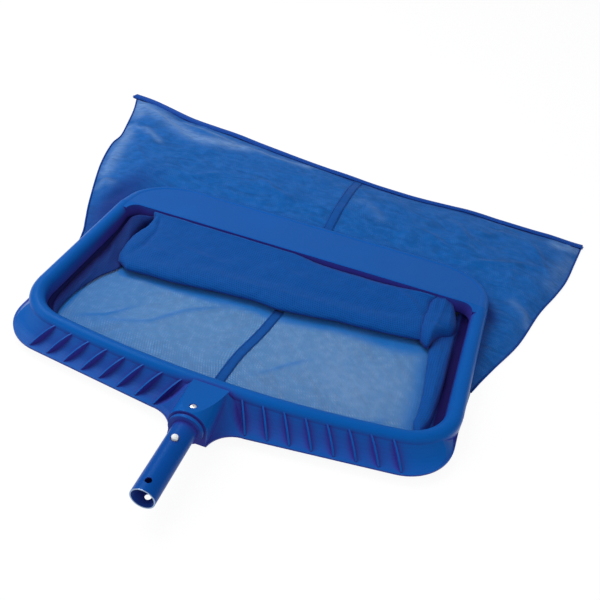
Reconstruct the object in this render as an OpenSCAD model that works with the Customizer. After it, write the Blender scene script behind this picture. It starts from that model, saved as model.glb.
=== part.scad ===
// Leaf skimmer net: a moulded frame with a scoop lip, a handle tube with push buttons, and a deep net bag.
// X runs along the frame, +Y points from the handle to the lip, +Z points up.
// The origin is on the ground, under the middle of the frame's opening.

/* [Ring] */
// Width of the ring, crest to crest
ring_w = 553; // [460:1:640]
// Distance from the origin to the near crest at its middle
near_reach = 191; // [170:1:215]
// Distance from the origin to the lip's inner edge
far_reach = 106; // [90:1:130]
// Height of the ring's crest above the ground
crest_z = 34; // [32:0.5:38]
// Width of the ring's ridge
ridge_w = 21; // [19:0.5:25]
// Wall thickness of the moulding
wall = 3; // [2.2:0.1:3.6]
// Height of the ring's open underside above the ground
rim_z = 9; // [8.5:0.1:10.5]
// Radius of the near corners, at the crest
near_r = 64; // [50:1:72]
// How far the near side bows out between its corners
near_bow = 18; // [10:0.5:28]
// Radius of the far corners of the opening
far_r = 16; // [10:1:30]

/* [Scoop lip] */
// Width of the lip, from its inner to its outer edge
lip_w = 115; // [84:1:144]
// How far the lip drops towards its outer edge
lip_drop = 20; // [16:0.5:20]
// Radius of the lip's outer corners
lip_r = 85; // [60:1:95]
// Depth of the lip's plate below the crest line
lip_inset = 1.2; // [0.8:0.1:3]
// Height of the opening's far wall above the ground
far_wall_z = 13; // [12:0.5:16]
// Number of stiffening ribs under the lip
lip_ribs = 7; // [3:1:11]

/* [Apron] */
// How far the apron's edge lies in front of the near crest, at its middle
apron_mid_w = 54; // [44:1:69]
// How far the apron's edge lies in front of the near crest's middle, at the ring's sides
apron_side_w = 17; // [9:1:24]
// Radius of the apron's corners
apron_r = 66; // [50:1:72]
// Thickness of the apron's floor
apron_t = 2.5; // [2:0.1:3.5]
// Number of gusset ribs on each side of the socket
rib_count = 8; // [4:1:8]
// Distance from the middle to the first rib
rib_first = 38; // [36:0.5:44]
// Distance between neighbouring ribs
rib_pitch = 25.4; // [20:0.1:26]
// Sideways lean of a rib from its top to its foot
rib_slant = 19; // [0:0.5:22]
// Thickness of a rib
rib_t = 2; // [1.4:0.1:3]

/* [Socket] */
// Height of the handle's axis above the ground
axis_z = 32.5; // [32:0.1:33.5]
// Outer radius of the socket
socket_r = 23; // [22.5:0.1:23.4]
// Length of the socket, from the near crest to its open end
socket_l = 75; // [70:0.5:86]
// Height of the flanks that lean against the socket
flank_h = 30; // [24:0.5:31]
// Width of the flanks
flank_w = 32; // [24:0.5:34]
// Outer radius of the collar's sleeve, inside the socket
sleeve_r = 17; // [16:0.1:17.5]
// Length of the collar's sleeve, inside the socket
sleeve_l = 9; // [6:0.5:9.5]
// Radius of the collar's neck, at the bottom of the groove
neck_r = 19; // [18:0.1:19.5]
// Outer radius of the collar's flange
flange_r = 20.5; // [20:0.1:22]
// Thickness of the collar's flange
flange_t = 4; // [3:0.1:5.5]
// Width of the groove between flange and socket
groove_w = 2; // [1.5:0.1:3.5]

/* [Handle tube] */
// Outer diameter of the handle tube
tube_d = 28.5; // [28:0.05:28.7]
// Wall thickness of the handle tube
tube_wall = 1.5; // [1.4:0.02:1.56]
// Length of the tube outside the collar
tube_out = 98.2; // [88:0.2:120]
// Length of the tube inside the socket
tube_in = 27.5; // [24.5:0.5:29.5]
// Diameter of the cross hole near the mouth
cross_hole_d = 7.6; // [6:0.1:9]
// Distance from the mouth to the cross hole
cross_hole_at = 13.1; // [11:0.1:16]
// Distance from the collar to the push buttons
button_at = 25.7; // [23.2:0.1:33]

/* [Push buttons] */
// Diameter of a push button
button_d = 7.4; // [6.5:0.1:7.8]
// How far a button stands out of the tube
button_rise = 4; // [3:0.1:4.2]
// Clearance round a button in its hole
button_gap = 0.8; // [0.7:0.05:1]
// Width of the spring strip
strip_w = 6; // [5:0.1:6.2]
// Thickness of the spring strip
strip_t = 1; // [0.7:0.05:1.1]
// Distance from a button to the start of the spring's bend
arm = 27; // [25:0.5:28]
// Diameter of the blind rivet's shank
rivet_d = 4.8; // [4:0.1:5.2]
// Diameter of the blind rivet's head
rivet_head_d = 8; // [7:0.1:8.6]
// Distance from the socket's open end to the blind rivet
rivet_at = 14; // [13.5:0.1:16]

/* [Bag] */
// Thickness of the bag's cloth
cloth_t = 1; // [0.7:0.05:1.1]
// Width of the bag's closed end
bag_w = 884; // [760:2:920]
// Sideways shift of the bag's closed end
bag_shift = -24; // [-40:1:40]
// How far the bag's closed end lies behind the lip
bag_l = 181; // [150:1:220]
// How much further back the closed end lies at its left corner
hem_turn = 104; // [0:1:120]
// Distance from the lip to the upper mesh panel's fullest part
crown_at = 79; // [60:1:90]
// Height of the upper mesh panel at its fullest, above the ground
bag_rise = 17; // [12:0.5:22]
// Width of the end hem
hem_w = 9; // [6:0.5:14]
// Thickness of the end hem
hem_t = 4; // [2.5:0.1:5]
// Width of the centre tapes
tape_w = 19; // [12:0.5:26]
// Radius of the cord in the bag's mouth
bead_r = 2.8; // [2:0.1:3]
// How far the far skirt's fold reaches in from the lip
fold_reach = 103; // [80:1:115]
// Gap between the far skirt's fold and the ring's left side
fold_left = 40; // [39:1:70]
// Gap between the far skirt's fold and the ring's right side
fold_right = 55; // [39:1:90]
// Width of the folded skirt seen along the sides
side_fold = 37; // [28:1:45]

/* [Hidden] */
$fn = 96;
long_fn = 720;
round_fn = 48;

// Clearances
cloth_gap = 0.3;
fit_gap = 0.05;
end_gap = 0.3;
lift = 0.1;

// The corners of the ring reach this many degrees into the runs beside them, and are this much slimmer
corner_lap = 1;
corner_inset = 0.1;

// Distances from the origin
lip_reach = far_reach + lip_w;
bag_reach = lip_reach + bag_l;
crown_reach = lip_reach + crown_at;
apron_mid = near_reach + apron_mid_w;
apron_side = near_reach + apron_side_w;
socket_reach = near_reach + socket_l;
flange_reach = socket_reach + groove_w + flange_t;
rivet_reach = socket_reach - rivet_at;
tube_reach = flange_reach + tube_out;
tube_end = socket_reach - tube_in;

// Ring
ridge_r = ridge_w / 2;
ring_x = ring_w / 2;
channel_r = ridge_r - wall;
near_cx = ring_x - near_r;
near_cy = near_bow + near_r - near_reach;
near_run_r = (pow(near_r + near_bow, 2) + near_cx * near_cx - near_r * near_r) / (2 * near_bow);
near_run_y = near_run_r - near_reach;
near_angle = asin(near_cx / (near_run_r - near_r));
far_corner_x = ring_x - ridge_r - far_r;
far_corner_y = far_reach - far_r;
far_run_y = far_reach + ridge_r;
far_corner_r = far_r + ridge_r;
round_z = crest_z - ridge_r;

// Scoop lip, laid out flat and tilted about its inner edge
lip_tilt = atan(lip_drop / (lip_reach - far_reach));
lip_y = far_reach + (lip_reach - far_reach) / cos(lip_tilt);
lip_corner_x = ring_x + ridge_r - lip_r;
lip_corner_y = lip_y - lip_r;
lip_top = crest_z - lip_inset;
shelf_top = lip_top - 2 * ridge_r * tan(lip_tilt) - 1;
shelf_bottom = shelf_top - wall;

// Apron
apron_z = rim_z + 2 * corner_inset;
apron_top = apron_z + apron_t;
apron_grade = (apron_mid - apron_side) / ring_x;
apron_lean = atan(apron_grade);
apron_x = ring_x + ridge_r - 1;
apron_cx = apron_x - apron_r;
apron_cy = edge_y(apron_cx) + apron_r / cos(apron_lean);
throat_r = 35;
throat_x = socket_r + throat_r;
throat_y = edge_y(throat_x) - throat_r;
rib_top = crest_z - 5;
rib_bulge = 2.5;
rib_steps = 8;
cove_w = 28;
cove_h = 15;
cove_steps = 7;
cove_foot = 0.3;

// Socket and collar
socket_root = near_reach + ridge_r - 1;
facet_start = near_reach;
facet_angle = atan((axis_z + socket_r - crest_z) / (socket_reach - facet_start));
sleeve_end = socket_reach - sleeve_l;
core_w = 24;
core_wall = 5;
leg_inset = 0.3;
flank_reach = 40;
flank_root = near_reach + ridge_r - 2.1;

// Handle tube
tube_r = tube_d / 2;
tube_in_r = tube_r - tube_wall;
cross_hole_y = cross_hole_at - tube_reach;
button_y = -flange_reach - button_at;

// Blind rivet
rivet_r = rivet_d / 2;
rivet_head_r = rivet_head_d / 2;
rivet_seat_z = crest_z + (rivet_reach - rivet_head_r - facet_start) * tan(facet_angle) - 0.6;
rivet_head_h = 1.3;
rivet_tail_r = rivet_r + 0.7;
rivet_tail_h = 2.4;
rivet_tail_z = axis_z + tube_in_r - 0.9;
mandrel_r = 1.3;

// Spring clip: the strip lies against the tube's bore, so its edges set its height
strip_z = sqrt(tube_in_r * tube_in_r - strip_w * strip_w / 4) - cloth_gap;
bend_y = button_y + arm;
button_r = button_d / 2;
leg_tip = 4.5;

// Bead channel, measured across the ridge from its middle, with the opening on the minus side
bead_z = rim_z + 5 + lift + bead_r;
slot_x = -channel_r + cloth_gap + cloth_t / 2;
retainer_from = slot_x + cloth_t / 2 + cloth_gap;
retainer_to = channel_r - cloth_gap;
retainer_top = rim_z + 5;
bead_x = retainer_from - cloth_gap + 0.2 + bead_r;
slot_top = bead_z + bead_r;

// Bag
low_z = cloth_t + lift + cloth_t / 2;
hang_z = rim_z - 1.8 - cloth_t / 2;
bag_side_y = -36;
bag_near_y = -near_reach - ridge_r + 2;
bag_corner = 22;
bag_side_x = ring_x + ridge_r + 4;
hem_left = bag_shift - bag_w / 2;
hem_right = bag_shift + bag_w / 2;
hem_turn_x = 40;
bag_steps = 12;
edge_wall = cloth_t + 0.2;
skirt_end = lip_reach - 15;
wing_x = ring_x + ridge_r + 3;
wing_y = bag_side_y - 4;
bottom_tape_x = 3;
top_tape_x = 22;
fold_y = far_reach - fold_reach;
fold_x = ring_x - ridge_r - fold_left;

// y of the apron's outer edge, in front of a point at x
function edge_y(x) = -apron_mid + apron_grade * abs(x);

// y of the near crest at x
function crest_y(x) = near_run_y - sqrt(near_run_r * near_run_r - x * x);

// y of the bag's closed end at x, and half-width of its sides at y
function hem_y(x) = bag_reach + hem_turn * pow(max(0, hem_turn_x - x) / (hem_turn_x - hem_left), 1.25);
function side_x(y, corner_x, corner_y, bulge) =
    bag_side_x + (abs(corner_x) - bag_side_x) * pow((y - bag_side_y) / (corner_y - bag_side_y), bulge);

// Unit normal of a segment, mitre at a point, and a band of cloth along a path
function segment_normal(a, b) = [a[1] - b[1], b[0] - a[0]] / norm(b - a);
function path_normal(p, i) =
    i == 0 ? segment_normal(p[0], p[1]) :
    i == len(p) - 1 ? segment_normal(p[i - 1], p[i]) :
    let (m = segment_normal(p[i - 1], p[i]), n = segment_normal(p[i], p[i + 1])) (m + n) / (1 + m * n);
function shifted(p, t) = [for (i = [0:len(p) - 1]) p[i] + path_normal(p, i) * t];
function reversed(p) = [for (i = [len(p) - 1:-1:0]) p[i]];
function mirrored(p) = [for (q = reversed(p)) [-q[0], q[1]]];
function around(centre, r, angle) = centre + r * [sin(angle), -cos(angle)];

// A hollow slope that rises from the apron at x = foot to the given height at x = head
function hollow(foot, head, height, power) = [for (i = [0:cove_steps]) let (s = i / cove_steps)
    [foot + (head - foot) * s, apron_top - cove_foot + (height + cove_foot) * pow(s, power)]];
module band(p, t) {
    polygon(concat(shifted(p, t / 2), reversed(shifted(p, -t / 2))));
}

// Cloth paths: across the far side (y, z), across a side (x, z) and across the near side (out, z)
far_path = [
    [far_run_y + slot_x, slot_top], [far_run_y + slot_x, far_wall_z - 1.5], [far_reach - 6, far_wall_z - 1.5],
    [far_reach - 31, far_wall_z + 4], [fold_y + 37, far_wall_z + 6], [fold_y + 11, far_wall_z + 4],
    [fold_y, hang_z + 5.5], [fold_y + 5, hang_z + 0.9], [fold_y + 27, hang_z], [skirt_end, hang_z]
];
side_path = [
    [ring_x + slot_x, slot_top], [ring_x + slot_x, rim_z - 2], [ring_x + slot_x - 8, low_z + 3.2],
    [ring_x - ridge_r - side_fold + 3, low_z + 2.6], [ring_x - ridge_r - side_fold, low_z + 1.3],
    [ring_x - ridge_r - side_fold + 3, low_z + 0.1], [ring_x + 4, low_z], [wing_x - 1, hang_z]
];
function near_path(inset) = [
    [slot_x, slot_top - inset], [slot_x, low_z + 3], [slot_x + 3, low_z + 0.8], [slot_x + 9, low_z],
    [ridge_r - inset, low_z]
];
top_path = [
    [wing_y - 60, hang_z], [lip_reach + 4, hang_z], [lip_reach + 24, hang_z + 5],
    [crown_reach, bag_rise - cloth_t / 2], [(crown_reach + bag_reach) / 2, bag_rise - 3.5],
    [bag_reach - hem_w, hem_t + 1], [bag_reach + hem_turn, hem_t + 1]
];

// Sweeps a profile round the ring: x is the distance out from the middle of the ridge, y is the height
module near_run(from = -near_angle, to = near_angle) {
    translate([0, near_run_y, 0])
        rotate([0, 0, from - 90])
            rotate_extrude(angle = to - from, $fn = long_fn)
                translate([near_run_r, 0])
                    children();
}
module near_corners() {
    for (side = [0, 1])
        mirror([side, 0, 0])
            translate([near_cx, near_cy, 0])
                rotate([0, 0, near_angle - 90 - corner_lap])
                    rotate_extrude(angle = 90 - near_angle + 2 * corner_lap)
                        translate([near_r, 0])
                            children();
}
module side_run(from, to) {
    translate([ring_x, to, 0])
        rotate([90, 0, 0])
            linear_extrude(to - from)
                children();
}
module both_sides(from, to) {
    for (side = [0, 1])
        mirror([side, 0, 0])
            side_run(from, to)
                children();
}
module far_corners() {
    for (side = [0, 1])
        mirror([side, 0, 0])
            translate([far_corner_x, far_corner_y, 0])
                rotate([0, 0, -corner_lap])
                    rotate_extrude(angle = 90 + 2 * corner_lap)
                        translate([far_corner_r, 0])
                            children();
}
module far_run(half) {
    translate([half, far_run_y, 0])
        rotate([90, 0, -90])
            linear_extrude(2 * half)
                mirror([1, 0])
                    children();
}
// The corners take the second profile, a shade smaller than the first, and reach into the runs beside them
module all_round() {
    near_run()
        children(0);
    near_corners()
        children(1);
    both_sides(near_cy, far_corner_y)
        children(0);
    far_corners()
        children(1);
    far_run(far_corner_x)
        children(0);
}

// Profiles
module ridge_profile(inset = 0) {
    outer = ridge_r - inset;
    inner = channel_r + inset;
    low = rim_z + inset;
    difference() {
        union() {
            translate([0, round_z])
                circle(r = outer, $fn = round_fn);
            translate([-outer, low])
                square([2 * outer, round_z - low]);
        }
        translate([0, round_z])
            circle(r = inner, $fn = round_fn);
        translate([-inner, low - 1])
            square([2 * inner, round_z - low + 1]);
    }
}
module shelf_profile(inset = 0) {
    outer = ridge_r - inset;
    inner = channel_r + inset;
    low = far_wall_z + inset;
    difference() {
        translate([-outer, low])
            square([2 * outer, shelf_top - inset - low]);
        translate([-inner, low - 1])
            square([2 * inner, shelf_bottom + inset - low + 1]);
    }
}
module channel_profile(inset = 0) {
    translate([-channel_r + inset, rim_z - 1])
        square([2 * (channel_r - inset), shelf_bottom - inset - rim_z + 1]);
}
module retainer_profile() {
    translate([retainer_from, rim_z])
        square([retainer_to - retainer_from, retainer_top - rim_z]);
}
module cove_profile(inset = 0) {
    slope = hollow(ridge_r + cove_w - inset, ridge_r - 1, cove_h - inset, 2.2);
    polygon(concat(slope, [[ridge_r - 1, apron_z + 1 + inset], [ridge_r + cove_w - inset, apron_z + 1 + inset]]));
}

// Plan of everything inside the ring's outer wall, on its near half: its chords stay within the wall
module ring_plan() {
    reach = ridge_r - wall / 2;
    run = [for (i = [-6:6]) around([0, near_run_y], near_run_r + reach, i / 6.5 * near_angle)];
    corner = [for (i = [1:9]) let (a = near_angle + i / 9 * (90 - near_angle))
        around([near_cx, near_cy], near_r + reach, a)];
    polygon(concat(mirrored(corner), run, corner));
}

// Frame
module lip_place() {
    translate([0, far_reach, crest_z])
        rotate([-lip_tilt, 0, 0])
            translate([0, -far_reach, -crest_z])
                children();
}
module lip_edge() {
    for (side = [0, 1])
        mirror([side, 0, 0]) {
            side_run(far_reach, lip_corner_y)
                ridge_profile(corner_inset);
            translate([lip_corner_x, lip_corner_y, 0])
                rotate_extrude(angle = 90)
                    translate([lip_r - ridge_r, 0])
                        ridge_profile(corner_inset);
        }
    translate([lip_corner_x, lip_y - ridge_r, 0])
        rotate([90, 0, -90])
            linear_extrude(2 * lip_corner_x)
                ridge_profile(corner_inset);
}
module lip_plate_plan() {
    start = far_reach + wall / 3;
    translate([-ring_x, start])
        square([ring_w, lip_corner_y - start]);
    translate([-lip_corner_x, start])
        square([2 * lip_corner_x, lip_y - ridge_r - start]);
    for (side = [0, 1])
        mirror([side, 0])
            translate([lip_corner_x, lip_corner_y])
                intersection() {
                    circle(r = lip_r - ridge_r);
                    square(lip_r);
                }
}
module lip_stiffeners() {
    span = 2 * (lip_corner_x - 10);
    from = far_run_y + channel_r + 1;
    for (i = [0:lip_ribs - 1])
        translate([i / (lip_ribs - 1) * span - span / 2 - rib_t / 2, from, lip_top - wall - 5])
            cube([rib_t, lip_y - ridge_r - from, 6]);
}
module scoop_lip() {
    intersection() {
        lip_place() {
            lip_edge();
            translate([0, 0, lip_top - wall])
                linear_extrude(wall)
                    lip_plate_plan();
            lip_stiffeners();
        }
        translate([-ring_w, far_reach - 20, rim_z])
            cube([2 * ring_w, lip_reach, crest_z]);
    }
}
module corner_plates() {
    for (side = [0, 1])
        mirror([side, 0, 0]) {
            translate([0, 0, lip_top - wall])
                linear_extrude(wall)
                    difference() {
                        translate([far_corner_x, far_corner_y])
                            square([ring_x - far_corner_x, far_r + wall]);
                        translate([far_corner_x, far_corner_y])
                            circle(r = far_r);
                    }
            translate([far_corner_x, far_corner_y, far_wall_z])
                rotate_extrude(angle = 90)
                    translate([far_r, 0])
                        square([wall, lip_top - far_wall_z]);
        }
    translate([-far_corner_x, far_reach, far_wall_z])
        cube([2 * far_corner_x, wall, lip_top - far_wall_z]);
}
module apron_plan() {
    tangent_x = apron_cx + apron_r * sin(apron_lean);
    tangent_y = apron_cy - apron_r * cos(apron_lean);
    difference() {
        union() {
            polygon([
                [-apron_x, near_cy], [-apron_x, apron_cy], [-tangent_x, tangent_y],
                [-throat_x, edge_y(throat_x)], [-throat_x, -socket_reach], [throat_x, -socket_reach],
                [throat_x, edge_y(throat_x)], [tangent_x, tangent_y], [apron_x, apron_cy], [apron_x, near_cy]
            ]);
            for (side = [-1, 1])
                translate([side * apron_cx, apron_cy])
                    circle(r = apron_r);
        }
        for (side = [-1, 1])
            translate([side * throat_x, throat_y])
                circle(r = throat_r);
        ring_plan();
        translate([-apron_x - 1, near_cy])
            square([2 * apron_x + 2, ring_w]);
    }
}
// The cove thins out towards the apron's round corners
module cove_bounds() {
    height = crest_z - apron_z;
    translate([-apron_cx, -ring_w, 0])
        cube([2 * apron_cx, ring_w + near_cy, crest_z]);
    for (side = [-1, 1])
        translate([side * apron_cx, apron_cy, apron_z + 0.5])
            cylinder(r1 = apron_r - cove_foot, r2 = apron_r - cove_foot - height, h = height);
}
module gusset(x) {
    start = [x, crest_y(x) - ridge_r + 2];
    foot = [x + rib_slant, edge_y(x + rib_slant) + 3];
    run = norm(foot - start);
    top = [for (i = [0:rib_steps]) let (s = i / rib_steps)
        [run * s, rib_top + (apron_top + 1 - rib_top) * s + rib_bulge * 4 * s * (1 - s)]];
    translate([start[0], start[1], 0])
        rotate([0, 0, atan2(foot[1] - start[1], foot[0] - start[0])])
            rotate([90, 0, 0])
                translate([0, 0, -rib_t / 2])
                    linear_extrude(rib_t)
                        polygon(concat(top, [[run, rim_z + 1], [0, rim_z + 1]]));
}
module apron() {
    translate([0, 0, apron_z])
        linear_extrude(apron_t)
            apron_plan();
    intersection() {
        union() {
            near_run()
                cove_profile();
            near_corners()
                cove_profile(corner_inset);
        }
        cove_bounds();
    }
    for (side = [0, 1])
        mirror([side, 0, 0])
            for (i = [0:rib_count - 1])
                gusset(rib_first + i * rib_pitch);
}
module along_y(r, from, to) {
    translate([0, from, axis_z])
        rotate([-90, 0, 0])
            cylinder(r = r, h = to - from);
}
// Falls away from the socket to its side, and towards the throat of the apron
module flank() {
    intersection() {
        translate([throat_x, throat_y, 0])
            rotate([0, 0, 85])
                rotate_extrude(angle = 100)
                    polygon(concat(hollow(throat_r + 0.5, throat_r + flank_reach, flank_h, 1.5),
                        [[throat_r + flank_reach, apron_z + 1], [throat_r + 0.5, apron_z + 1]]));
        translate([0, -flank_root, 0])
            rotate([90, 0, 0])
                linear_extrude(socket_reach - flank_root - 4)
                    polygon(concat(hollow(socket_r + flank_w, socket_r - 3, flank_h, 2),
                        [[socket_r - 3, apron_z + 1], [socket_r + flank_w, apron_z + 1]]));
    }
}
module socket_body() {
    difference() {
        union() {
            along_y(socket_r, -socket_reach, -socket_root);
            translate([leg_inset - socket_r, -socket_reach, rim_z])
                cube([2 * (socket_r - leg_inset), socket_l - ridge_r + 1, axis_z - rim_z]);
            for (side = [0, 1])
                mirror([side, 0, 0])
                    flank();
        }
        translate([-2 * socket_r, -facet_start, crest_z])
            rotate([-facet_angle, 0, 0])
                translate([0, -4 * socket_r, 0])
                    cube([4 * socket_r, 5 * socket_r, 2 * socket_r]);
    }
}
module frame() {
    color("royalblue")
        difference() {
            union() {
                near_run()
                    ridge_profile();
                near_corners()
                    ridge_profile(corner_inset);
                both_sides(near_cy, far_reach)
                    ridge_profile();
                far_corners()
                    shelf_profile(corner_inset);
                far_run(far_corner_x)
                    shelf_profile();
                corner_plates();
                scoop_lip();
                apron();
                socket_body();
            }
            both_sides(near_cy, far_corner_y)
                channel_profile();
            far_corners()
                channel_profile(corner_inset);
            far_run(far_corner_x)
                channel_profile();
            along_y(sleeve_r + fit_gap, -socket_reach - 1, -sleeve_end + end_gap);
            along_y(tube_r + fit_gap, -socket_reach - 1, -tube_end + end_gap);
            translate([-core_w / 2, -tube_end + core_wall, 0])
                cube([core_w, tube_end - socket_root - 2 * core_wall, crest_z - wall]);
            translate([0, -rivet_reach, axis_z])
                cylinder(r = rivet_r + fit_gap, h = socket_r + 10);
            translate([0, -rivet_reach, rivet_seat_z])
                cylinder(r = rivet_head_r + end_gap, h = socket_r);
        }
}

// Snap-in strips that trap the bag's edge
module retainer_far() {
    color("mediumblue")
        far_run(far_corner_x - end_gap)
            retainer_profile();
}
module retainer_side() {
    side_run(near_cy + end_gap, far_corner_y - end_gap)
        retainer_profile();
}
module retainer_left() {
    color("mediumblue")
        mirror([1, 0, 0])
            retainer_side();
}
module retainer_right() {
    color("mediumblue")
        retainer_side();
}
module retainer_near() {
    near_run(asin((socket_r + 6) / near_run_r), near_angle - 0.3)
        retainer_profile();
}
module retainer_near_left() {
    color("mediumblue")
        mirror([1, 0, 0])
            retainer_near();
}
module retainer_near_right() {
    color("mediumblue")
        retainer_near();
}

// Bag
module bead_cord() {
    color("navy")
        all_round() {
            translate([bead_x, bead_z])
                circle(r = bead_r, $fn = round_fn);
            translate([bead_x, bead_z])
                circle(r = bead_r - corner_inset, $fn = round_fn);
        }
}
module skirt_far() {
    color("midnightblue")
        translate([ring_x - ridge_r - fold_right, 0, 0])
            rotate([90, 0, -90])
                linear_extrude(ring_x - ridge_r - fold_right + fold_x)
                    mirror([1, 0])
                        band(far_path, cloth_t);
}
module skirt_side() {
    side_start = near_cy + (near_r + ridge_r) * sin(corner_lap) + end_gap;
    translate([0, far_corner_y, 0])
        rotate([90, 0, 0])
            linear_extrude(far_corner_y - side_start)
                band(side_path, cloth_t);
}
module skirt_left() {
    color("midnightblue")
        mirror([1, 0, 0])
            skirt_side();
}
module skirt_right() {
    color("midnightblue")
        skirt_side();
}
module skirt_near() {
    color("midnightblue") {
        near_run()
            band(near_path(0), cloth_t);
        near_corners()
            band(near_path(corner_inset), cloth_t - 2 * corner_inset);
    }
}
module bag_plan(trim) {
    corner_y = hem_y(hem_left) - trim;
    hem_steps = 2 * bag_steps;
    right = [for (i = [0:bag_steps]) let (y = bag_side_y + i / bag_steps * (bag_reach - trim - bag_side_y))
        [side_x(y, hem_right, bag_reach - trim, 0.75), y]];
    left = [for (i = [bag_steps:-1:0]) let (y = bag_side_y + i / bag_steps * (corner_y - bag_side_y))
        [-side_x(y, hem_left, corner_y, 0.9), y]];
    hem = [for (i = [1:hem_steps - 1]) let (x = hem_right - i / hem_steps * bag_w)
        [x, hem_y(x) - trim]];
    near = [
        [near_cx, bag_near_y], [ring_x - bag_corner / 2, near_cy - bag_corner], [bag_side_x - 5, near_cy]
    ];
    polygon(concat(mirrored(near), near, right, hem, left));
}
module mesh_bottom() {
    color("cornflowerblue")
        linear_extrude(cloth_t)
            bag_plan(hem_w);
}
module upper_plan() {
    difference() {
        bag_plan(hem_w);
        translate([-wing_x, -near_reach - 60])
            square([2 * wing_x, near_reach + 60 + far_reach]);
        translate([-fold_x - 1, -near_reach - 60])
            square([2 * fold_x + 2, near_reach + 60 + skirt_end + end_gap]);
        translate([-ring_w, -near_reach - 60])
            square([2 * ring_w, near_reach + 60 + wing_y]);
    }
}
module under_top_path(shift) {
    translate([-bag_w, 0, 0])
        rotate([90, 0, 90])
            linear_extrude(2 * bag_w)
                polygon(concat(shifted(top_path, shift), [[bag_reach + hem_turn, 0], [wing_y - 60, 0]]));
}
module mesh_top() {
    color("steelblue")
        difference() {
            intersection() {
                translate([0, 0, cloth_t])
                    linear_extrude(bag_rise)
                        upper_plan();
                under_top_path(cloth_t / 2);
            }
            intersection() {
                translate([0, 0, -1])
                    linear_extrude(bag_rise)
                        difference() {
                            offset(delta = -edge_wall)
                                bag_plan(hem_w);
                            translate([-ring_w, -near_reach - 60])
                                square([2 * ring_w, near_reach + 60 + wing_y + edge_wall]);
                        }
                under_top_path(-cloth_t / 2);
            }
        }
}
module tape_bottom() {
    color("darkblue")
        translate([bottom_tape_x - tape_w / 2, -near_reach + 10, cloth_t])
            cube([tape_w, near_reach - 10 + bag_reach - hem_w - 2, 0.5]);
}
module tape_top() {
    path = shifted([for (i = [1:5]) top_path[i]], cloth_t / 2 + 0.25);
    color("darkblue")
        intersection() {
            translate([top_tape_x - tape_w / 2, 0, 0])
                rotate([90, 0, 90])
                    linear_extrude(tape_w)
                        band(path, 0.5);
            translate([-bag_w, 0, 0])
                cube([2 * bag_w, bag_reach - hem_w - 1, crest_z]);
        }
}
module hem_binding() {
    color("navy")
        linear_extrude(hem_t)
            difference() {
                bag_plan(0);
                bag_plan(hem_w);
                translate([-bag_w, -near_reach - 60])
                    square([2 * bag_w, near_reach + 60 + bag_reach - hem_w - 2]);
            }
}

// Handle
module handle_tube() {
    color("dodgerblue")
        difference() {
            along_y(tube_r, -tube_reach, -tube_end);
            along_y(tube_in_r, -tube_reach - 1, -tube_end + 1);
            translate([0, cross_hole_y, axis_z - tube_r - 1])
                cylinder(d = cross_hole_d, h = tube_d + 2);
            translate([0, button_y, axis_z - tube_r - 1])
                cylinder(r = button_r + button_gap, h = tube_d + 2);
            translate([0, -rivet_reach, axis_z])
                cylinder(r = rivet_r + fit_gap, h = tube_r + 1);
        }
}
module socket_collar() {
    color("mediumblue")
        difference() {
            union() {
                along_y(flange_r, -flange_reach, -socket_reach - groove_w);
                along_y(neck_r, -socket_reach - groove_w, -socket_reach);
                along_y(sleeve_r, -socket_reach, -sleeve_end);
            }
            along_y(tube_r + fit_gap, -flange_reach - 1, -sleeve_end + 1);
        }
}
module rivet_body() {
    grip = rivet_seat_z - rivet_tail_z;
    color("silver")
        translate([0, -rivet_reach, 0])
            difference() {
                union() {
                    translate([0, 0, rivet_tail_z - rivet_tail_h])
                        cylinder(r = rivet_tail_r, h = rivet_tail_h);
                    translate([0, 0, rivet_tail_z - rivet_tail_h / 2])
                        cylinder(r = rivet_r, h = grip + (rivet_head_h + rivet_tail_h) / 2);
                    intersection() {
                        translate([0, 0, rivet_seat_z])
                            cylinder(r = rivet_head_r, h = rivet_head_h);
                        translate([0, 0, rivet_seat_z + rivet_head_h - 2 * rivet_head_r])
                            sphere(r = 2 * rivet_head_r);
                    }
                }
                translate([0, 0, rivet_tail_z - rivet_tail_h - 1])
                    cylinder(r = mandrel_r + fit_gap, h = socket_r + 10);
            }
}
module rivet_mandrel() {
    color("dimgray")
        translate([0, -rivet_reach, rivet_tail_z - rivet_tail_h])
            cylinder(r = mandrel_r, h = rivet_seat_z + rivet_head_h - 0.5 - rivet_tail_z + rivet_tail_h);
}

// Push-button clip: one bent strip, whose two legs flex about the ends of its bend
module spring_bend() {
    color("lightgray")
        difference() {
            translate([-strip_w / 2, bend_y, axis_z])
                rotate([0, 90, 0])
                    cylinder(r = strip_z, h = strip_w);
            translate([-strip_w, bend_y, axis_z])
                rotate([0, 90, 0])
                    cylinder(r = strip_z - strip_t, h = 2 * strip_w);
            translate([-strip_w, bend_y - 2 * strip_z, axis_z - 2 * strip_z])
                cube([2 * strip_w, 2 * strip_z, 4 * strip_z]);
        }
}
module leg() {
    translate([-strip_w / 2, button_y - leg_tip, axis_z + strip_z - strip_t])
        cube([strip_w, arm + leg_tip - end_gap, strip_t]);
}
module button() {
    height = tube_r + button_rise - strip_z;
    intersection() {
        translate([0, button_y, axis_z + strip_z])
            cylinder(r = button_r, h = height);
        translate([0, button_y, axis_z + strip_z + height - 1.4 * button_r])
            sphere(r = 1.4 * button_r);
    }
}
module below_axis() {
    translate([0, 0, axis_z])
        mirror([0, 0, 1])
            translate([0, 0, -axis_z])
                children();
}
module upper_leg() {
    color("lightgray")
        leg();
}
module upper_button() {
    color("white")
        button();
}
module lower_leg() {
    color("lightgray")
        below_axis()
            leg();
}
module lower_button() {
    color("white")
        below_axis()
            button();
}

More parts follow.
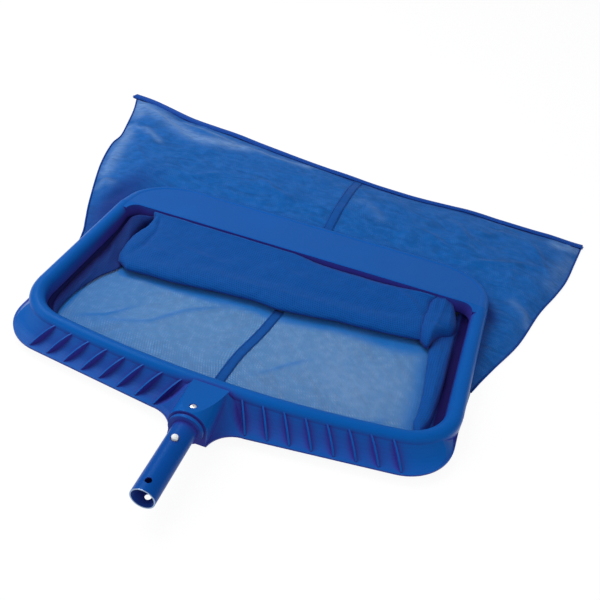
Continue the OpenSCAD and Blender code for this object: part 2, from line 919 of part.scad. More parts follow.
frame();
retainer_far();
retainer_left();
retainer_right();
retainer_near_left();
retainer_near_right();
bead_cord();
skirt_far();
skirt_left();
skirt_right();
skirt_near();
mesh_bottom();
mesh_top();
tape_bottom();
tape_top();
hem_binding();
handle_tube();
socket_collar();
rivet_body();
rivet_mandrel();
spring_bend();
upper_leg();
upper_button();
lower_leg();
lower_button();
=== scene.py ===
"""Leaf skimmer net: finishes for the moulded frame and the handle, and the cloth of the bag."""
import math

import bpy
import numpy as np
from mathutils import Matrix, Vector


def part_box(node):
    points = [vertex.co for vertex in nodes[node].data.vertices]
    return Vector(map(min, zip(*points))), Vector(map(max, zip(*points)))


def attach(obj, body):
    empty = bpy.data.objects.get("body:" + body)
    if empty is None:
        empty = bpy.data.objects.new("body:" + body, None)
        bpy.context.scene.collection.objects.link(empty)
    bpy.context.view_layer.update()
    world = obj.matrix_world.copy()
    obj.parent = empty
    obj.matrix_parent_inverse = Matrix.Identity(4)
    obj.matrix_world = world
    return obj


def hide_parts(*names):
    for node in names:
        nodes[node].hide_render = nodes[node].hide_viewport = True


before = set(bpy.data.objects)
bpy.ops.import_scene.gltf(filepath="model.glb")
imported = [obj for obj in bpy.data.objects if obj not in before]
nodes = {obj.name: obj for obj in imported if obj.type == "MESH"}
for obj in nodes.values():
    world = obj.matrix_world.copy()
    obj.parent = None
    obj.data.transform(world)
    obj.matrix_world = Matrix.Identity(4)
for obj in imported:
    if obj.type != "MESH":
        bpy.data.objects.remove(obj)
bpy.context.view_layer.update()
MM = 0.001


# ---------------------------------------------------------------- lines and surfaces

def smooth_line(points, count):
    """A smooth line through the points, as count points evenly spread over their spacing."""
    p = np.asarray(points, float)
    ends = np.vstack([2 * p[0] - p[1], p, 2 * p[-1] - p[-2]])
    step = np.concatenate([[0], np.cumsum(np.sqrt(np.linalg.norm(np.diff(p, axis=0), axis=1)) + 1e-9)])
    at = np.linspace(0, step[-1], count)
    i = np.clip(np.searchsorted(step, at, side="right") - 1, 0, len(p) - 2)
    t = ((at - step[i]) / (step[i + 1] - step[i]))[:, None]
    a, b, c, d = ends[i], ends[i + 1], ends[i + 2], ends[i + 3]
    return 0.5 * (2 * b + (c - a) * t + (2 * a - 5 * b + 4 * c - d) * t ** 2 + (3 * b - a - 3 * c + d) * t ** 3)


def even_line(points, count):
    """The same line as count points at equal distances along it."""
    fine = smooth_line(points, 40 * len(points))
    run = np.concatenate([[0], np.cumsum(np.linalg.norm(np.diff(fine, axis=0), axis=1))])
    at = np.linspace(0, run[-1], count)
    return np.stack([np.interp(at, run, fine[:, k]) for k in range(fine.shape[1])], axis=1)


def loft(sections, across, along):
    """A smooth (along, across, 3) surface through sections that have the same number of points."""
    rows = np.stack([smooth_line(s, across) for s in sections])
    return np.stack([smooth_line(rows[:, k], along) for k in range(across)], axis=1)


def ease(t):
    """Goes softly from 0 to 1 as t does."""
    t = np.clip(t, 0, 1)
    return t * t * (3 - 2 * t)


def distance_to(x, y, line):
    """Distance in the plan from each point to a polyline, and how far along it the nearest point lies, 0 to 1."""
    best = np.full(np.shape(x), 1e9)
    where = np.zeros(np.shape(x))
    p = np.asarray(line, float)
    run = np.concatenate([[0], np.cumsum(np.linalg.norm(np.diff(p, axis=0), axis=1))])
    for i in range(len(p) - 1):
        d = p[i + 1] - p[i]
        t = np.clip(((x - p[i, 0]) * d[0] + (y - p[i, 1]) * d[1]) / (d @ d), 0, 1)
        gap = np.hypot(x - p[i, 0] - t * d[0], y - p[i, 1] - t * d[1])
        near = gap < best
        best = np.where(near, gap, best)
        where = np.where(near, (run[i] + t * (run[i + 1] - run[i])) / run[-1], where)
    return best, where


def creases(x, y, lines):
    """Height of the creases (points, width, height) at each point; each fades out at its two ends."""
    total = np.zeros(np.shape(x))
    for points, width, height in lines:
        gap, where = distance_to(x, y, points)
        total += height * np.exp(-(gap / width) ** 2) * np.sin(np.pi * np.clip(where, 0.04, 0.96)) ** 0.6
    return total


def ripples(x, y, seed, scale, height):
    """Soft random waves, the same on every run."""
    r = np.random.default_rng(seed)
    total = np.zeros(np.shape(x))
    for k in range(9):
        angle, phase = r.uniform(0, 2 * math.pi, 2)
        length = scale * r.uniform(0.6, 1.8)
        total += np.sin((x * math.cos(angle) + y * math.sin(angle)) * 2 * math.pi / length + phase)
    return total * height / 3


def add_object(name, data):
    made = bpy.data.objects.new(name, data)
    bpy.context.scene.collection.objects.link(made)
    return made


def keep_mesh(name, points, faces, uv=None, edges=()):
    """A smooth mesh object from points in millimetres."""
    mesh = bpy.data.meshes.new(name)
    mesh.from_pydata((np.asarray(points, float) * MM).tolist(), list(edges), faces)
    if uv is not None:
        layer = mesh.uv_layers.new(name="UVMap")
        corner = np.zeros(len(mesh.loops), dtype=np.int32)
        mesh.loops.foreach_get("vertex_index", corner)
        layer.data.foreach_set("uv", (np.asarray(uv, float)[corner] * MM).ravel())
    mesh.polygons.foreach_set("use_smooth", [True] * len(mesh.polygons))
    mesh.update()
    return add_object(name, mesh)


def grid_piece(name, grid, drop=None, flip=False, thick=0.0):
    """A sheet from an (n, m, 3) grid of points in millimetres, with its UVs in metres along the cloth."""
    n, m = grid.shape[:2]
    index = np.arange(n * m).reshape(n, m)
    a, b, c, d = index[:-1, :-1], index[1:, :-1], index[1:, 1:], index[:-1, 1:]
    quads = np.stack([a, b, c, d], axis=-1).reshape(-1, 4)
    if drop is not None:
        quads = quads[~drop.ravel()]
    if flip:
        quads = quads[:, ::-1]
    u = np.concatenate([np.zeros((1, m)), np.cumsum(np.linalg.norm(np.diff(grid, axis=0), axis=2), axis=0)])
    v = np.concatenate([np.zeros((n, 1)), np.cumsum(np.linalg.norm(np.diff(grid, axis=1), axis=2), axis=1)], axis=1)
    used, new = np.unique(quads, return_inverse=True)
    uv = np.stack([u.ravel(), v.ravel()], axis=1)[used]
    made = keep_mesh(name, grid.reshape(-1, 3)[used], new.reshape(-1, 4).tolist(), uv)
    if thick:
        shell = made.modifiers.new("thickness", "SOLIDIFY")
        shell.thickness = thick * MM
        shell.offset = 0.0
    return made


def coons(near, far, left, right, n, m):
    """A grid between four boundary lines; left and right run from near to far."""
    near, far = even_line(near, n), even_line(far, n)
    left, right = even_line(left, m), even_line(right, m)
    u = np.linspace(0, 1, n)[:, None, None]
    v = np.linspace(0, 1, m)[None, :, None]
    grid = (1 - v) * near[:, None] + v * far[:, None] + (1 - u) * left[None] + u * right[None]
    grid -= (1 - u) * (1 - v) * near[0] + u * (1 - v) * near[-1] + (1 - u) * v * far[0] + u * v * far[-1]
    return grid


def mark(piece, name, value_of):
    """Writes an attribute of the cloth, from a function of the place in millimetres."""
    mesh = piece.data
    place = np.zeros(len(mesh.vertices) * 3)
    mesh.vertices.foreach_get("co", place)
    place = place.reshape(-1, 3) / MM
    layer = mesh.attributes.new(name, "FLOAT", "POINT")
    layer.data.foreach_set("value", np.clip(value_of(place[:, 0], place[:, 1]), 0, 1))


# ---------------------------------------------------------------- shared shader groups

def feed(tree, node, inputs):
    """Fills a node's sockets, by name or number, with values or with other nodes' outputs."""
    for key, value in inputs.items():
        if isinstance(value, bpy.types.NodeSocket):
            tree.links.new(value, node.inputs[key])
        else:
            node.inputs[key].default_value = value
    return node


def put(tree, kind, inputs=None, **settings):
    """Adds a node; inputs are as feed() takes them."""
    made = tree.nodes.new(kind)
    for key, value in settings.items():
        setattr(made, key, value)
    return feed(tree, made, inputs or {})


def calc(tree, operation, *values, clamp=False):
    """A Math node of up to three values."""
    return put(tree, "ShaderNodeMath", dict(enumerate(values)), operation=operation, use_clamp=clamp).outputs[0]


def mix_colour(tree, factor, a, b):
    return put(tree, "ShaderNodeMix", {0: factor, 6: a, 7: b}, data_type="RGBA").outputs[2]


def new_group(name, kind, inputs, outputs):
    """An empty node group with named sockets, each (label, type, value)."""
    group = bpy.data.node_groups.new(name, kind)
    for label, socket, value in inputs:
        made = group.interface.new_socket(name=label, in_out="INPUT", socket_type=socket)
        if value is not None:
            made.default_value = value
    for label, socket in outputs:
        group.interface.new_socket(name=label, in_out="OUTPUT", socket_type=socket)
    return group, group.nodes.new("NodeGroupInput"), group.nodes.new("NodeGroupOutput")


def cloth_uv(tree, *stretch):
    """The cloth's own UVs, in metres; stretch holds a factor along it and one across it."""
    uv = put(tree, "ShaderNodeUVMap", uv_map="UVMap").outputs[0]
    if not stretch:
        return uv
    sizes = put(tree, "ShaderNodeCombineXYZ", dict(enumerate(stretch)))
    return put(tree, "ShaderNodeVectorMath", {0: uv, 1: sizes.outputs[0]}, operation="MULTIPLY").outputs[0]


def shade_group():
    """Painted shade: the colour goes violet where little light reaches it, deep in folds, corners and slots."""
    group, start, end = new_group(
        "violet_in_folds", "ShaderNodeTree",
        [("Colour", "NodeSocketColor", (0.01, 0.1, 0.4, 1)), ("Deep colour", "NodeSocketColor", (0.03, 0.02, 0.2, 1)),
         ("Reach", "NodeSocketFloat", 0.03), ("Strength", "NodeSocketFloat", 1.0)],
        [("Colour", "NodeSocketColor")])
    open_sky = put(group, "ShaderNodeAmbientOcclusion", {"Distance": start.outputs["Reach"]}, samples=8)
    dark = calc(group, "POWER", calc(group, "SUBTRACT", 1.0, open_sky.outputs["AO"]), 1.2)
    dark = calc(group, "MULTIPLY", dark, start.outputs["Strength"], clamp=True)
    feed(group, end, {"Colour": mix_colour(group, dark, start.outputs["Colour"], start.outputs["Deep colour"])})
    return group


def weave_group():
    """Crossed threads on the cloth's UVs: how high a thread stands, where the holes are, and the yarn's tone."""
    group, start, end = new_group(
        "crossed_threads", "ShaderNodeTree",
        [("Pitch", "NodeSocketFloat", 0.0018), ("Drift", "NodeSocketFloat", 0.0)],
        [("Height", "NodeSocketFloat"), ("Hole", "NodeSocketFloat"), ("Tone", "NodeSocketFloat")])
    uv = cloth_uv(group)
    wobble = put(group, "ShaderNodeTexNoise", {"Vector": uv, "Scale": 28.0, "Detail": 1.0})
    shift = put(group, "ShaderNodeVectorMath", {0: wobble.outputs["Color"], 1: (0.5, 0.5, 0.5)}, operation="SUBTRACT")
    moved = put(group, "ShaderNodeVectorMath", {0: shift.outputs[0], "Scale": start.outputs["Drift"]},
                operation="SCALE")
    place = put(group, "ShaderNodeVectorMath", {0: uv, 1: moved.outputs[0]}, operation="ADD")
    parts = put(group, "ShaderNodeSeparateXYZ", {0: place.outputs[0]})
    waves = []
    for axis in (0, 1):
        turns = calc(group, "DIVIDE", parts.outputs[axis], start.outputs["Pitch"])
        waves.append(calc(group, "MULTIPLY_ADD", calc(group, "COSINE", calc(group, "MULTIPLY", turns, 2 * math.pi)),
                          0.5, 0.5))
    gap = calc(group, "MULTIPLY", *waves)
    tone = put(group, "ShaderNodeTexNoise", {"Vector": uv, "Scale": 120.0, "Detail": 3.0})
    feed(group, end, {"Height": calc(group, "SUBTRACT", 1.0, gap), "Hole": gap, "Tone": tone.outputs["Fac"]})
    return group


def stroke_group():
    """Long thin marks along the cloth, where threads crowd together or pull apart."""
    group, start, end = new_group(
        "thread_strokes", "ShaderNodeTree",
        [("Along", "NodeSocketFloat", 14.0), ("Across", "NodeSocketFloat", 260.0)],
        [("Stroke", "NodeSocketFloat")])
    place = cloth_uv(group, start.outputs["Along"], start.outputs["Across"])
    marks = put(group, "ShaderNodeTexNoise", {"Vector": place, "Scale": 1.0, "Detail": 2.0})
    feed(group, end, {"Stroke": calc(group, "MULTIPLY_ADD", marks.outputs["Fac"], 3.0, -1.0, clamp=True)})
    return group


def grain_group():
    """Fine grain and broad patches of a moulded, drawn or spun surface, on object coordinates."""
    group, start, end = new_group(
        "fine_grain", "ShaderNodeTree",
        [("Scale", "NodeSocketFloat", 900.0), ("Patch scale", "NodeSocketFloat", 18.0)],
        [("Grain", "NodeSocketFloat"), ("Patch", "NodeSocketFloat")])
    place = put(group, "ShaderNodeTexCoord").outputs["Object"]
    fine = put(group, "ShaderNodeTexNoise", {"Vector": place, "Scale": start.outputs["Scale"], "Detail": 2.0})
    patch = put(group, "ShaderNodeTexNoise", {"Vector": place, "Scale": start.outputs["Patch scale"], "Detail": 3.0})
    feed(group, end, {"Grain": fine.outputs["Fac"], "Patch": patch.outputs["Fac"]})
    return group


def crumple_group():
    """Fine soft wrinkles that wander over thin cloth, on its UVs."""
    group, start, end = new_group(
        "thin_wrinkles", "ShaderNodeTree",
        [("Scale", "NodeSocketFloat", 17.0), ("Stretch", "NodeSocketFloat", 2.3)],
        [("Ridge", "NodeSocketFloat"), ("Swell", "NodeSocketFloat")])
    place = cloth_uv(group, 1.0, start.outputs["Stretch"])
    swell = put(group, "ShaderNodeTexNoise", {"Vector": place, "Scale": start.outputs["Scale"], "Detail": 3.0,
                                              "Distortion": 1.1})
    fold = calc(group, "ABSOLUTE", calc(group, "MULTIPLY_ADD", swell.outputs["Fac"], 2.0, -1.0))
    ridge = calc(group, "POWER", calc(group, "SUBTRACT", 1.0, fold, clamp=True), 8.0)
    feed(group, end, {"Ridge": ridge, "Swell": swell.outputs["Fac"]})
    return group


SHADE = shade_group()
CRUMPLE = crumple_group()
WEAVE = weave_group()
STROKES = stroke_group()
GRAIN = grain_group()


# ---------------------------------------------------------------- materials

def rgb(r, g, b):
    return (r, g, b, 1.0)


def lighter(colour, times):
    return tuple(min(1.0, c * times) for c in colour[:3]) + (1.0,)


BLUE = rgb(0.003, 0.087, 0.365)
# DEEP, DARK_FOLD and DARK_GAP are painted shade colours: the violet and near black that folds, slots and gaps are
# painted with.
DEEP = rgb(0.04, 0.034, 0.28)
DARK_FOLD = rgb(0.02, 0.014, 0.16)
DARK_GAP = rgb(0.01, 0.006, 0.08)
# MILK is the pale colour of the net's painted sheen and paler patches, and is also painted into its holes.
MILK = rgb(0.26, 0.42, 0.68)
WHITE = rgb(1.0, 1.0, 1.0)
MESH_PITCH = 0.0034


def new_material(name):
    made = bpy.data.materials.new(name)
    made.use_nodes = True
    return made, made.node_tree, made.node_tree.nodes["Principled BSDF"]


def use(tree, group, **values):
    """Places a shared group; each value is named as its socket, with _ for a space."""
    inputs = {label.replace("_", " "): value for label, value in values.items()}
    return put(tree, "ShaderNodeGroup", inputs, node_tree=group)


def toned(tree, base, mask, amount, colour):
    """The base with another colour over it, by the mask times the amount."""
    return mix_colour(tree, calc(tree, "MULTIPLY", mask, amount), base, colour)


def marked(tree, name):
    """An attribute that mark() wrote on the cloth."""
    return put(tree, "ShaderNodeAttribute", attribute_name=name, attribute_type="GEOMETRY").outputs["Fac"]


def blue_gloss(level):
    """The gloss of dyed plastic and nylon, weak and bluish."""
    return {"IOR": 1.19, "Specular IOR Level": level, "Specular Tint": rgb(0.15, 0.5, 1.0)}


def moulded_plastic(name, colour, deep, rough=0.3, reach=0.038, strength=2.5, gloss=0.45):
    made, tree, shader = new_material(name)
    grain = use(tree, GRAIN, Scale=1400.0, Patch_scale=14.0)
    base = mix_colour(tree, grain.outputs["Patch"], lighter(colour, 0.94), lighter(colour, 1.1))
    # Painted shade: the plastic goes violet in its corners, slots and hollows.
    painted_shade = use(tree, SHADE, Colour=base, Deep_colour=deep, Reach=reach, Strength=strength)
    bump = put(tree, "ShaderNodeBump", {"Strength": 0.12, "Distance": 0.0002, "Height": grain.outputs["Grain"]})
    roughness = calc(tree, "MULTIPLY_ADD", grain.outputs["Patch"], 0.1, rough - 0.05)
    feed(tree, shader, {"Base Color": painted_shade.outputs[0], "Roughness": roughness, "Normal": bump.outputs[0],
                        **blue_gloss(gloss)})
    return made


def cut_end(painted, mouth_y, metal):
    """Bares the metal at the tube's cut mouth, where its paint ends."""
    tree, shader = painted.node_tree, painted.node_tree.nodes["Principled BSDF"]
    place = put(tree, "ShaderNodeSeparateXYZ", {0: put(tree, "ShaderNodeTexCoord").outputs["Object"]})
    bare = calc(tree, "LESS_THAN", place.outputs[1], mouth_y)
    paint = shader.inputs["Base Color"].links[0].from_socket
    feed(tree, shader, {"Base Color": mix_colour(tree, bare, paint, metal), "Metallic": bare})


def net_cloth(name, colour, deep, shaded, cover, wrinkle, strength=0.6, stroke=0.25, dotted=0.16):
    """Knitted net: light comes through its holes. One attribute paints it milky, with painted sheen and paler
    patches; another (shade) closes its holes and paints shade on it.
    """
    made, tree, shader = new_material(name)
    weave = use(tree, WEAVE, Pitch=MESH_PITCH, Drift=0.004)
    marks = use(tree, STROKES)
    base = mix_colour(tree, weave.outputs["Tone"], lighter(colour, 0.88), lighter(colour, 1.12))
    base = toned(tree, base, marks.outputs[0], stroke, lighter(colour, 0.55))
    cloud = use(tree, GRAIN, Scale=95.0, Patch_scale=24.0)
    mottle = calc(tree, "MULTIPLY_ADD", cloud.outputs["Grain"], 2.4, -1.0, clamp=True)
    base = toned(tree, base, mottle, 0.4, lighter(colour, 1.3))
    # Painted highlight along the wrinkles' ridges and painted shade in their hollows; the same wrinkles also bump the
    # surface.
    folds = use(tree, CRUMPLE)
    base = toned(tree, base, folds.outputs["Ridge"], 0.8 * wrinkle, lighter(colour, 1.5))
    hollow = calc(tree, "MULTIPLY_ADD", folds.outputs["Swell"], -7.0, 3.2, clamp=True)
    base = toned(tree, base, hollow, wrinkle, lighter(colour, 0.62))
    base = toned(tree, base, weave.outputs["Hole"], calc(tree, "MULTIPLY", mottle, dotted), MILK)
    # Painted violet shade in folds, then the shade attribute's painted shade over it.
    painted_shade = use(tree, SHADE, Colour=base, Deep_colour=deep, Reach=0.02, Strength=strength)
    shade = marked(tree, "shade")
    dim = mix_colour(tree, shade, painted_shade.outputs[0], shaded)
    # Painted sheen and paler patches where the milky attribute says, broken into patches.
    broken = use(tree, STROKES, Along=60.0, Across=190.0)
    patchy = calc(tree, "MULTIPLY_ADD", broken.outputs[0], 0.5, calc(tree, "MULTIPLY", cloud.outputs["Patch"], 1.1))
    milky_share = calc(tree, "MULTIPLY", marked(tree, "sheen_and_pale"), patchy, clamp=True)
    open_share = calc(tree, "MULTIPLY_ADD", weave.outputs["Hole"], 2.4 * (1 - cover), 0.4 * (1 - cover))
    open_share = calc(tree, "MULTIPLY", open_share, calc(tree, "SUBTRACT", 1.0, shade))
    bump = put(tree, "ShaderNodeBump", {"Strength": 0.4, "Distance": 0.0003, "Height": weave.outputs["Height"]})
    bump = put(tree, "ShaderNodeBump", {"Strength": wrinkle, "Distance": 0.006, "Height": folds.outputs["Swell"],
                                        "Normal": bump.outputs[0]})
    feed(tree, shader, {"Base Color": mix_colour(tree, milky_share, dim, MILK), "Roughness": 0.6,
                        "Alpha": calc(tree, "SUBTRACT", 1.0, open_share), "Normal": bump.outputs[0],
                        "Sheen Weight": 0.05, "Sheen Roughness": 0.5, **blue_gloss(0.2)})
    return made


def woven_cloth(name, colour, deep, pitch=0.0009, strength=1.0, gaps=0.2):
    """Close woven cloth or tape, with painted violet shade in its folds. An attribute (shade) paints near-black shade
    on it where it lies deep beside the wall.
    """
    made, tree, shader = new_material(name)
    weave = use(tree, WEAVE, Pitch=pitch, Drift=0.001)
    marks = use(tree, STROKES, Along=90.0, Across=420.0)
    base = mix_colour(tree, weave.outputs["Tone"], lighter(colour, 0.85), lighter(colour, 1.18))
    base = toned(tree, base, marks.outputs[0], 0.2, lighter(colour, 0.6))
    base = toned(tree, base, weave.outputs["Hole"], gaps, lighter(colour, 0.3))
    # Painted shade: violet in folds, and near black where the shade attribute says.
    painted_shade = use(tree, SHADE, Colour=base, Deep_colour=deep, Reach=0.022, Strength=strength)
    bump = put(tree, "ShaderNodeBump", {"Strength": 0.4, "Distance": 0.0002, "Height": weave.outputs["Height"]})
    feed(tree, shader, {"Base Color": mix_colour(tree, marked(tree, "shade"), painted_shade.outputs[0], DARK_GAP),
                        "Roughness": 0.5, "Sheen Weight": 0.05, "Normal": bump.outputs[0], **blue_gloss(0.2)})
    return made


def spun_thread(name, colour, deep):
    """Sewing thread and rolled seams, mottled along their length."""
    made, tree, shader = new_material(name)
    grain = use(tree, GRAIN, Scale=700.0, Patch_scale=45.0)
    base = mix_colour(tree, grain.outputs["Grain"], lighter(colour, 0.75), lighter(colour, 1.25))
    # Painted violet shade in the thread's hollows and where it meets the cloth.
    painted_shade = use(tree, SHADE, Colour=base, Deep_colour=deep, Reach=0.01, Strength=0.8)
    feed(tree, shader, {"Base Color": painted_shade.outputs[0], **blue_gloss(0.2),
                        "Roughness": calc(tree, "MULTIPLY_ADD", grain.outputs["Patch"], 0.2, 0.45)})
    return made


def bare_metal(name, colour, rough):
    made, tree, shader = new_material(name)
    grain = use(tree, GRAIN, Scale=2200.0, Patch_scale=60.0)
    feed(tree, shader, {"Base Color": mix_colour(tree, grain.outputs["Patch"], colour, lighter(colour, 1.15)),
                        "Roughness": calc(tree, "MULTIPLY_ADD", grain.outputs["Grain"], 0.15, rough),
                        "Metallic": 1.0})
    return made


frame_finish = moulded_plastic("frame_plastic", BLUE, DEEP)
strip_finish = moulded_plastic("retainer_plastic", rgb(0.004, 0.08, 0.33), DARK_FOLD, rough=0.45)
collar_finish = moulded_plastic("collar_plastic", BLUE, DEEP)
tube_finish = moulded_plastic("tube_blue", rgb(0.003, 0.061, 0.3), DEEP, reach=0.02)
cut_end(tube_finish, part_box("handle_tube")[0][1] + 0.3 * MM, rgb(0.32, 0.4, 0.55))
button_finish = moulded_plastic("button_plastic", rgb(0.8, 0.81, 0.82), rgb(0.3, 0.3, 0.34), 0.45, 0.004, 1.0, 0.5)
button_finish.node_tree.nodes["Principled BSDF"].inputs["Specular Tint"].default_value = WHITE
cord_finish = woven_cloth("bead_cord", rgb(0.01, 0.04, 0.16), DARK_FOLD)
skirt_finish = woven_cloth("skirt_nylon", rgb(0.005, 0.081, 0.345), rgb(0.03, 0.02, 0.2), pitch=0.0032, gaps=0.75)
# Beside their different cover, the lower net's colour is painted lighter as painted sheen, and the upper net's darker
# as painted shade; each net's third colour is the painted shade that its shade attribute mixes in.
lower_net_finish = net_cloth("bag_mesh_single", rgb(0.003, 0.134, 0.375), rgb(0.006, 0.03, 0.2),
                             rgb(0.003, 0.12, 0.43), 0.913, 0.2, strength=0.4, stroke=0.12, dotted=0.6)
upper_net_finish = net_cloth("bag_mesh_double", rgb(0.003, 0.09, 0.345), DEEP, rgb(0.008, 0.035, 0.2), 0.965, 0.34)
tape_finish = woven_cloth("seam_tape", rgb(0.006, 0.074, 0.31), rgb(0.01, 0.03, 0.2), pitch=0.0014, strength=0.5)
hem_finish = woven_cloth("hem_tape", rgb(0.006, 0.064, 0.34), DARK_FOLD, pitch=0.0014)
thread_finish = spun_thread("sewing_thread", rgb(0.006, 0.05, 0.26), DARK_FOLD)
rivet_finish = bare_metal("rivet_alloy", rgb(0.85, 0.86, 0.88), 0.3)
mandrel_finish = bare_metal("rivet_steel", rgb(0.35, 0.36, 0.38), 0.35)
spring_finish = bare_metal("spring_steel", rgb(0.6, 0.61, 0.63), 0.25)

for finish, names in (
        (frame_finish, ["frame"]),
        (strip_finish, ["retainer_far", "retainer_left", "retainer_right", "retainer_near_left",
                        "retainer_near_right"]),
        (collar_finish, ["socket_collar"]), (tube_finish, ["handle_tube"]),
        (button_finish, ["upper_button", "lower_button"]), (cord_finish, ["bead_cord"]),
        (rivet_finish, ["rivet_body"]), (mandrel_finish, ["rivet_mandrel"]),
        (spring_finish, ["spring_bend", "upper_leg", "lower_leg"])):
    for each in names:
        slots = nodes[each].data.materials
        slots.clear()
        slots.append(finish)


def finish_piece(piece, material, slot, *replaced):
    """Gives a piece its material, hangs it on the net's body and hides the nodes that it stands for; slot is not
    used.
    """
    if material.name not in piece.data.materials:
        piece.data.materials.append(material)
    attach(piece, "net")
    if replaced:
        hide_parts(*replaced)
    return piece


# ---------------------------------------------------------------- sewing: stitches and seams along a line

def dots_along(tree, start):
    """Points at equal distances along a sewing tree's line."""
    line = put(tree, "GeometryNodeMeshToCurve", {"Mesh": start.outputs["Line"]})
    return put(tree, "GeometryNodeResampleCurve", {"Curve": line.outputs[0], "Length": start.outputs["Spacing"]},
               mode="LENGTH")


def end_in_thread(tree, start, end, shape):
    """Ends a sewing tree: the shape is made real and gets the thread's material."""
    real = put(tree, "GeometryNodeRealizeInstances", {"Geometry": shape.outputs[0]})
    dressed = put(tree, "GeometryNodeSetMaterial",
                  {"Geometry": real.outputs[0], "Material": start.outputs["Thread"]})
    feed(tree, end, {0: dressed.outputs[0]})
    return tree


def stitch_tree():
    """Short arched stitches set end to end along a line."""
    tree, start, end = new_group(
        "stitch_row", "GeometryNodeTree",
        [("Line", "NodeSocketGeometry", None), ("Spacing", "NodeSocketFloat", 0.004),
         ("Length", "NodeSocketFloat", 0.003), ("Thread radius", "NodeSocketFloat", 0.0003),
         ("Rise", "NodeSocketFloat", 0.0006), ("Thread", "NodeSocketMaterial", None)],
        [("Geometry", "NodeSocketGeometry")])
    half = calc(tree, "MULTIPLY", start.outputs["Length"], 0.5)
    back = put(tree, "ShaderNodeCombineXYZ", {0: calc(tree, "MULTIPLY", half, -1.0)}).outputs[0]
    top = put(tree, "ShaderNodeCombineXYZ", {2: start.outputs["Rise"]}).outputs[0]
    front = put(tree, "ShaderNodeCombineXYZ", {0: half}).outputs[0]
    arch = put(tree, "GeometryNodeCurveQuadraticBezier",
               {"Resolution": 4, "Start": back, "Middle": top, "End": front})
    round_thread = put(tree, "GeometryNodeCurvePrimitiveCircle",
                       {"Resolution": 5, "Radius": start.outputs["Thread radius"]})
    stitch = put(tree, "GeometryNodeCurveToMesh",
                 {"Curve": arch.outputs[0], "Profile Curve": round_thread.outputs[0], "Fill Caps": True})
    tangent = put(tree, "GeometryNodeInputTangent")
    turn = put(tree, "FunctionNodeAlignRotationToVector", {"Vector": tangent.outputs[0]}, axis="X")
    row = put(tree, "GeometryNodeInstanceOnPoints",
              {"Points": dots_along(tree, start).outputs[0], "Instance": stitch.outputs[0],
               "Rotation": turn.outputs[0]})
    return end_in_thread(tree, start, end, row)


def seam_tree():
    """A rolled seam: a soft round edge that follows a line."""
    tree, start, end = new_group(
        "rolled_seam", "GeometryNodeTree",
        [("Line", "NodeSocketGeometry", None), ("Radius", "NodeSocketFloat", 0.0014),
         ("Spacing", "NodeSocketFloat", 0.004), ("Thread", "NodeSocketMaterial", None)],
        [("Geometry", "NodeSocketGeometry")])
    edge = put(tree, "GeometryNodeCurvePrimitiveCircle", {"Resolution": 8, "Radius": start.outputs["Radius"]})
    tube = put(tree, "GeometryNodeCurveToMesh",
               {"Curve": dots_along(tree, start).outputs[0], "Profile Curve": edge.outputs[0], "Fill Caps": True})
    return end_in_thread(tree, start, end, tube)


STITCHES = stitch_tree()
SEAM = seam_tree()


def sew(name, tree, lines, slot, **sizes):
    """Runs a sewing tree along lines of points in millimetres, and keeps the result as a plain mesh."""
    points, edges = [], []
    for line in lines:
        first = len(points)
        points.extend(line.tolist())
        edges.extend((k, k + 1) for k in range(first, len(points) - 1))
    guide = keep_mesh(name + "_line", points, [], edges=edges)
    maker = guide.modifiers.new("sewing", "NODES")
    maker.node_group = tree
    sizes["Thread"] = thread_finish
    for item in tree.interface.items_tree:
        value = sizes.get(item.name.replace(" ", "_"))
        if item.in_out == "INPUT" and value is not None:
            maker[item.identifier] = value
    bpy.context.view_layer.update()
    shape = bpy.data.meshes.new_from_object(guide.evaluated_get(bpy.context.evaluated_depsgraph_get()))
    bpy.data.objects.remove(guide)
    shape.name = name
    return finish_piece(add_object(name, shape), thread_finish, slot)


def beside(line, offset):
    """The line shifted sideways in the plan, to its right for a positive offset."""
    along = np.gradient(line[:, :2], axis=0)
    along /= np.linalg.norm(along, axis=1)[:, None]
    return line[:, :2] + np.stack([along[:, 1], -along[:, 0]], axis=1) * offset


# ---------------------------------------------------------------- the bag's two net panels

HEM_LINE = [(-467, 507), (-409, 496), (-323, 463), (-248, 451), (-181, 439), (-87, 422), (-22, 413), (70, 402),
            (136, 400), (222, 405), (280, 401), (334, 398), (418, 404)]
LEFT_EDGE = [(-291, -36), (-300, 2), (-313, 44), (-327, 75), (-349, 124), (-390, 228), (-410, 302), (-412, 339),
             (-425, 388), (-444, 450), (-467, 507)]
RIGHT_EDGE = [(291, -36), (301, -8), (314, 25), (340, 90), (362, 175), (383, 235), (397, 283), (408, 345), (418, 404)]
NEAR_EDGE = [(-291, -36), (-150, -36), (0, -36), (150, -36), (291, -36)]
ROLL_FRONT = [(-226, -6), (-212, -19), (-171, -16), (-140, -15), (-81, -6), (-21, 0), (11, -3), (60, 4), (93, 11),
              (130, 14), (164, 18), (190, 22), (211, 26)]
FLAP_EDGE = [(-244, -140), (-247, -126), (-248, -106), (-245, -76), (-236, -42), (-223, -14), (-224, 14), (-235, 46),
             (-237, 72), (-236, 84), (-234.5, 91), (-229, 96), (-225, 99)]
STRIP_EDGE = [(238, -143), (233, -128), (233.5, -110), (234, -86), (232.5, -56), (228, -14), (225, 19), (222, 52),
              (222, 78), (226, 90), (230, 97)]
SIDE_WALL = [(248.6, -151.8), (263.0, -133.0), (268.6, -112), (269.8, -84), (269.8, -48), (269.8, -14), (269.8, 20),
             (269.8, 58), (269.7, 88), (263.7, 104), (250, 109.7)]
RING_HALF, RING_FAR, RING_ROUND = 281, 216, 82


def lip_distance(x, y):
    """How far a point lies outside the frame's outline, negative inside it."""
    dx = np.abs(x) - RING_HALF + RING_ROUND
    dy = y - RING_FAR + RING_ROUND
    return np.where((dx > 0) & (dy > 0), np.hypot(dx, dy), np.maximum(dx, dy)) - RING_ROUND


def hem_rise(x):
    """How far the closed end's hem is held off the ground, between its two corners."""
    return 5.5 * ease((x + 440) / 160) * ease((418 - x) / 70)


